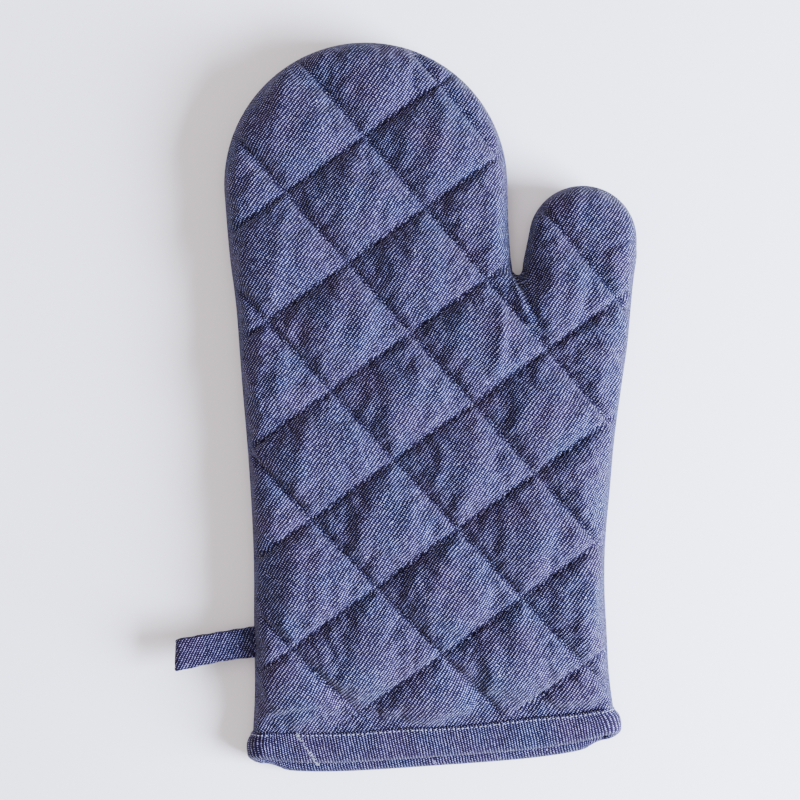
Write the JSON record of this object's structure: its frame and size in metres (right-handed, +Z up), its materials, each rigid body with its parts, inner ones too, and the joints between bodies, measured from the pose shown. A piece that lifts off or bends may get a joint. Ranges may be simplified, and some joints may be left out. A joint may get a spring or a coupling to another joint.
{
  "type": "oven mitt",
  "caption": "Quilted denim oven mitt for one hand, with a separate thumb, a bound cuff and a cloth hanging loop at the side seam.",
  "frame": {"origin": "on the plane the mitt lies on, under the middle of the palm, on the cuff centreline", "axes": "+Y from the cuff to the fingertips, +X to the thumb side, +Z up out of the plane the mitt lies on"},
  "size_m": [0.2149, 0.3173, 0.0264],
  "materials": {
    "cover_twill": "indigo twill, matt",
    "binding_twill": "indigo twill cut on the bias, matt",
    "wadding": "polyester wadding",
    "lining_cotton": "plain unbleached cotton",
    "quilting_thread": "navy sewing thread",
    "topstitch_thread": "pale blue-grey sewing thread"
  },
  "bodies": {
    "palm": {"front_cover_palm": "cover_twill", "front_wadding_palm": "wadding", "front_lining_palm": "lining_cotton", "front_quilting_palm": "quilting_thread", "back_cover_palm": "cover_twill", "back_wadding_palm": "wadding", "back_lining_palm": "lining_cotton", "back_quilting_palm": "quilting_thread", "side_seam_palm_left": "quilting_thread", "side_seam_palm_right": "quilting_thread", "side_seam_notch": "quilting_thread", "cuff_binding": "binding_twill", "cuff_topstitch": "topstitch_thread", "hanging_loop_root": "binding_twill", "loop_bar_tack": "quilting_thread"},
    "fingers": {"front_cover_fingers": "cover_twill", "front_wadding_fingers": "wadding", "front_lining_fingers": "lining_cotton", "front_quilting_fingers": "quilting_thread", "back_cover_fingers": "cover_twill", "back_wadding_fingers": "wadding", "back_lining_fingers": "lining_cotton", "back_quilting_fingers": "quilting_thread", "side_seam_fingers": "quilting_thread"},
    "thumb": {"front_cover_thumb": "cover_twill", "front_wadding_thumb": "wadding", "front_lining_thumb": "lining_cotton", "front_quilting_thumb": "quilting_thread", "back_cover_thumb": "cover_twill", "back_wadding_thumb": "wadding", "back_lining_thumb": "lining_cotton", "back_quilting_thumb": "quilting_thread", "side_seam_thumb": "quilting_thread"},
    "loop": {"hanging_loop": "binding_twill"}
  },
  "joints": [
    {"name": "fingers_fold", "type": "hinge", "parent": "palm", "child": "fingers", "pos_m": [-0.012, 0.0605, 0.0264], "axis": [1, 0, 0], "range_deg": [0, 85]},
    {"name": "thumb_fold", "type": "hinge", "parent": "palm", "child": "thumb", "pos_m": [0.0709, 0.0233, 0.0264], "axis": [0.5404, -0.8414, 0], "range_deg": [0, 50]},
    {"name": "loop_swing", "type": "hinge", "parent": "palm", "child": "loop", "pos_m": [-0.0778, -0.1008, 0.0132], "axis": [0, 1, 0], "range_deg": [-10, 90]}
  ]
}
